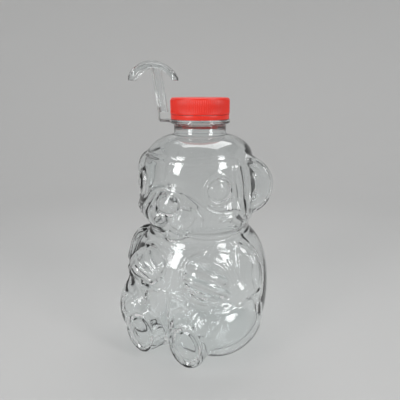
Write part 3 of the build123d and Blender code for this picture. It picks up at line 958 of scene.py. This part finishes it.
def prism(name, outline, along, edge):
    # A solid between the two places that "along" gives one flat outline, its edges rounded.
    work = bmesh.new()
    ends = [[work.verts.new(toHandle(place(point)) * mm) for point in outline] for place in along]
    count = len(outline)
    work.faces.new(ends[0][::-1])
    work.faces.new(ends[1])
    for i in range(count):
        j = (i + 1) % count
        work.faces.new((ends[0][i], ends[0][j], ends[1][j], ends[1][i]))
    bmesh.ops.recalc_face_normals(work, faces=work.faces)
    if edge:
        sharp = [e for e in work.edges if len(e.link_faces) == 2 and e.calc_face_angle() > radians(20)]
        bmesh.ops.bevel(work, geom=sharp, offset=edge * mm, segments=3, profile=0.5, affect="EDGES")
    return meshObject(name, work)


def makeCollar(material):
    half = handle["tabWidth"] / 2
    rootHalf = handle["tabRootWidth"] / 2
    reachOut, rootReach = handle["tabReach"], handle["tabRootReach"]
    columns = handle["collarColumns"]

    def outerReach(angle):
        # the ring, or the tapering tab where it reaches further
        x, y = -cos(angle), abs(sin(angle))
        best = handle["ring"]
        if x > 0:
            front = reachOut / x
            slope = (rootHalf - half) / (reachOut - rootReach)
            side = (half + slope * reachOut) / (y + slope * x)
            best = max(best, min(front, side))
        return best

    low, high, edge = collarLow, collarTop, handle["collarEdge"]
    outline = [(0, edge, 0), (0, 0, edge), (1, 0, -edge), (1, edge, 0), (1, -edge, 0, 1), (1, 0, -edge, 1),
               (0, 0, edge, 1), (0, -edge, 0, 1)]
    turn = radians(handle["turn"])
    rings = []
    for item in outline:
        outside, rise, inset = item[:3]
        height = (high if len(item) > 3 else low) + rise
        ring = []
        for column in range(columns):
            angle = tau * column / columns
            reach = (outerReach(angle) if outside else handle["bore"]) + inset
            ring.append((reach * cos(angle + turn), reach * sin(angle + turn), height))
        rings.append(ring)
    piece = ringMesh("handleCollar", rings, closed=True)
    smoothShade(piece, 35)
    finishPiece(piece, "collar", "clear_handle", material, "handle_collar")


def makeStrap(material):
    reach, thick, half = handle["strapReach"], handle["strapThick"], handle["strapWidth"] / 2
    low = collarTop - thick / 2
    outline = [(reach - thick / 2, low)]
    steps = 8
    for step in range(1, steps):
        angle = pi * step / steps
        outline.append((reach - thick / 2 * cos(angle), low - thick / 2 * sin(angle)))
    outline += [(reach + thick / 2, low), (reach + thick / 2, handle["strapTop"]),
                (reach - thick / 2, handle["strapTop"])]
    sides = [lambda point: (point[0], -half, point[1]), lambda point: (point[0], half, point[1])]
    piece = prism("hingeStrap", outline, sides, handle["strapEdge"])
    smoothShade(piece, 35)
    finishPiece(piece, "handle", "clear_handle", material, "handle_hinge_strap")


def leaned(reach, height):
    return reach + (height - handle["footHeight"]) * sin(radians(handle["lean"]))


def makeStem(low, top):
    # The stem's I section, leaned outward.
    half, web = handle["stemWidth"] / 2, handle["web"] / 2
    start = handle["footReach"]
    last = start + handle["stemDepth"]
    inner, outer = start + handle["flange"], start + handle["stemDepth"] - handle["flange"]
    section = [(start, -half), (inner, -half), (inner, -web), (outer, -web), (outer, -half), (last, -half),
               (last, half), (outer, half), (outer, web), (inner, web), (inner, half), (start, half)]
    ends = [lambda point: (leaned(point[0], low), point[1], low),
            lambda point: (leaned(point[0], top), point[1], top)]
    return prism("stem", section, ends, handle["edge"])


def archSolid(name, outRadius, inRadius, width, corner, inset, edge):
    # A curved slab across the stem's head, with rounded corners in plan.
    centre, height = handle["gripReach"], handle["gripHeight"]
    first, last = handle["gripInner"] + inset, handle["gripOuter"] - inset
    half = width / 2
    steps = 56
    rings = []
    for step in range(steps + 1):
        place = (1 - cos(pi * step / steps)) / 2
        reach = first + (last - first) * place
        gap = max(min(reach - first, last - reach), 0)
        dip = max(corner - gap, 0)
        wide = half - corner + sqrt(max(corner**2 - dip**2, 0))
        wide = max(wide, 0.2)
        away = reach - centre
        high = height + sqrt(max(outRadius**2 - away**2, 0))
        under = height + sqrt(max(inRadius**2 - away**2, 0)) if abs(away) < inRadius else 0
        low = min(max(under, handle["gripLow"]), high - 0.2)
        turn = min(edge, (high - low) / 2.2, wide / 1.2)
        ring = []
        for sideX, sideZ, begin in ((1, 1, 0), (-1, 1, 1), (-1, -1, 2), (1, -1, 3)):
            for part in range(4):
                angle = pi / 2 * (begin + part / 3)
                across = sideX * (wide - turn) + turn * cos(angle)
                up = (high - turn if sideZ > 0 else low + turn) + turn * sin(angle)
                ring.append(toHandle((reach, across, up)))
        rings.append(ring)
    ends = [sum((Vector(p) for p in ring), Vector()) / len(ring) for ring in (rings[0], rings[-1])]
    return ringMesh(name, [[ends[0]]] + rings + [[ends[1]]])


def combined(base, other, operation):
    modifier = base.modifiers.new("join", "BOOLEAN")
    modifier.operation = operation
    modifier.object = other
    modifier.solver = "EXACT"
    bpy.context.view_layer.update()
    graph = bpy.context.evaluated_depsgraph_get()
    mesh = bpy.data.meshes.new_from_object(base.evaluated_get(graph))
    base.modifiers.clear()
    old = base.data
    base.data = mesh
    bpy.data.meshes.remove(old)
    bpy.data.objects.remove(other)
    return base


def makeGrip(material):
    radius, lip = handle["gripRadius"], handle["gripLip"]
    grip = archSolid("stemAndGrip", radius, radius - lip, handle["gripWidth"], handle["gripCorner"], 0,
                     handle["gripEdge"])
    hollow = archSolid("hollow", radius - handle["gripPlate"], radius - lip - 3,
                       handle["gripWidth"] - 2 * handle["gripLipThick"],
                       handle["gripCorner"] - handle["gripLipThick"], handle["gripLipThick"],
                       handle["hollowEdge"])
    # the hollow runs out below the lips
    for vertex in hollow.data.vertices:
        if vertex.co.z < (handle["gripLow"] + 0.5) * mm:
            vertex.co.z -= 2 * mm
    piece = combined(grip, hollow, "DIFFERENCE")
    piece = combined(piece, makeStem(handle["footHeight"], handle["headHeight"]), "UNION")
    smoothShade(piece, 35)
    finishPiece(piece, "handle", "clear_handle", material, "handle_stem_and_grip")


# making it all

placeCamera()
makeBackdrop()
lightStudio()
print("studio ready")
makeBottle()
print("bear and neck made")
red = redMaterial()
makeCap(red)
makeBand(red)
dressLiner()
print("cap, band and liner made")
clearHandle = clearMaterial("clearMouldedPlastic", handlePlastic)
makeCollar(clearHandle)
makeStrap(clearHandle)
makeGrip(clearHandle)
print("handle made")

bpy.context.scene.view_settings.view_transform = "Standard"
